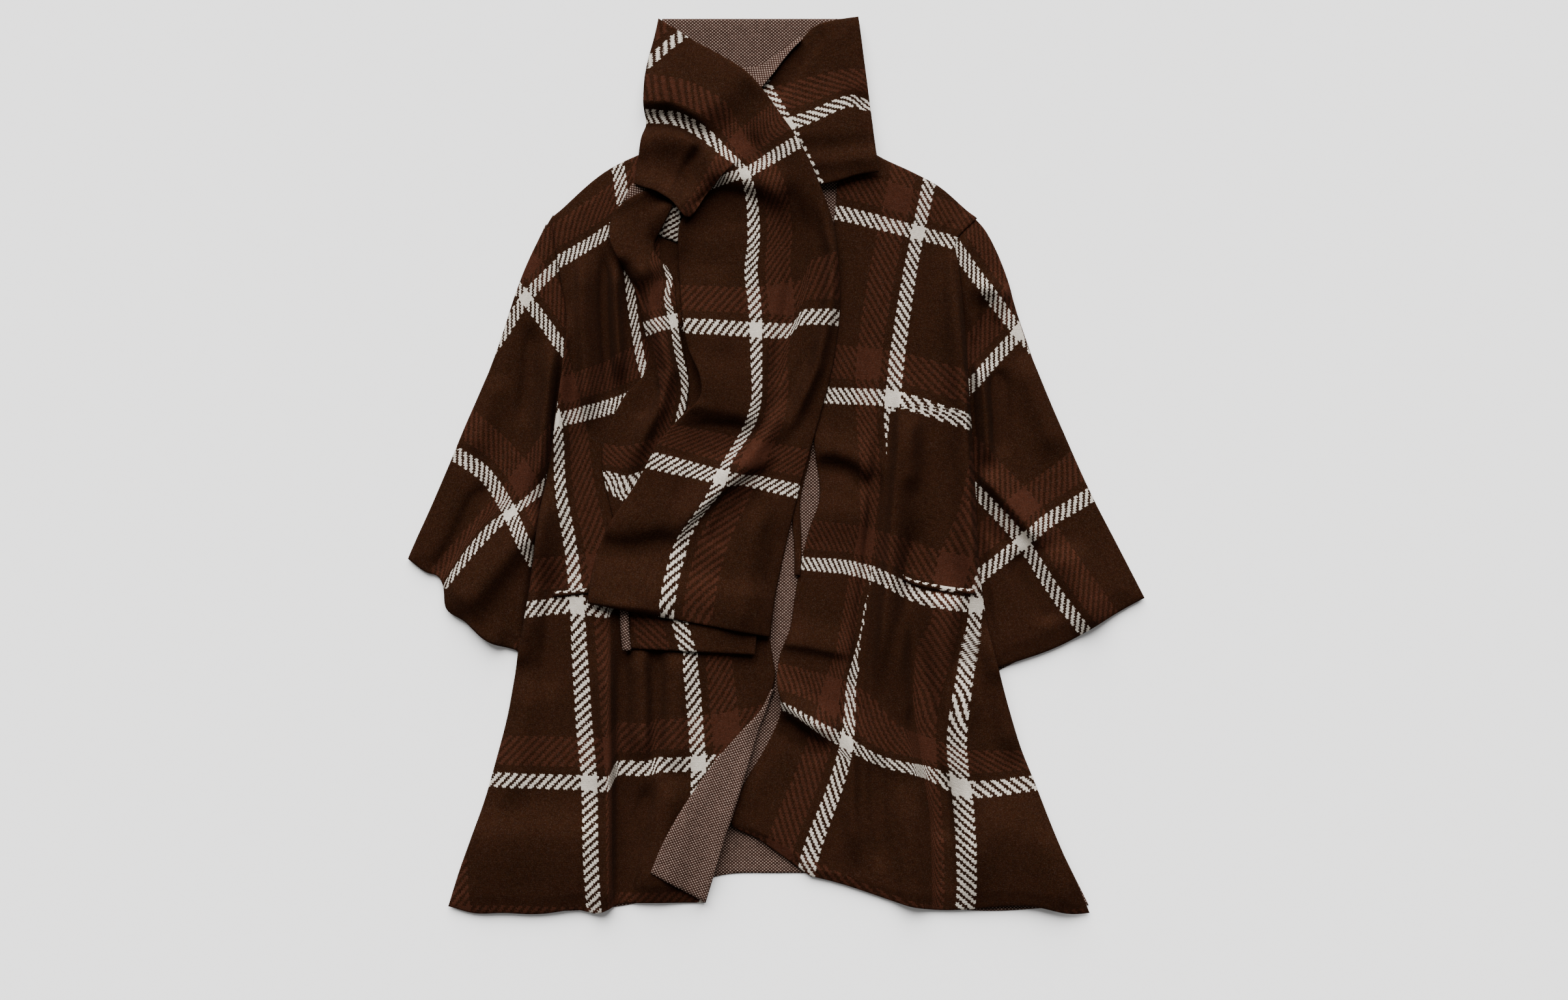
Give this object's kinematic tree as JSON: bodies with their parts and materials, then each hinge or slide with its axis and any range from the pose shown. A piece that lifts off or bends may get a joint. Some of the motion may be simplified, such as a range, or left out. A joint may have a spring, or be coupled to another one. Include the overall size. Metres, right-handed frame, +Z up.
{
  "type": "cape",
  "caption": "Open-front knitted cape with short wide sleeves, slit pockets and an attached scarf collar crossed at the throat, laid flat on its back.",
  "frame": {"origin": "middle of the garment's box, on the surface that it lies on", "axes": "+Z up from the surface, +Y from the hem to the neck, wearer's left at +X"},
  "size_m": [0.791, 0.9632, 0.0252],
  "materials": {
    "knit_face": "matte brushed jacquard knit, dark brown with rust and cream checks",
    "knit_reverse": "matte bird's-eye reverse of the jacquard knit",
    "pocket_knit": "matte plain single jersey"
  },
  "bodies": {
    "root": {"back": "knit_face", "sleeve_right_back": "knit_face", "sleeve_left_back": "knit_face", "scarf_back": "knit_reverse", "pocket_right": "pocket_knit", "pocket_left": "pocket_knit", "sleeve_right_front": "knit_face", "sleeve_left_front": "knit_face", "front_right": "knit_face", "front_left": "knit_face", "pocket_welt_right": "knit_face", "pocket_welt_left": "knit_face", "front_right_turn_back": "knit_reverse", "scarf_right_wrap": "knit_face", "scarf_under_tail": "knit_face", "scarf_under_end": "knit_face", "scarf_front_tail": "knit_face", "scarf_left_wrap": "knit_face"}
  },
  "joints": []
}
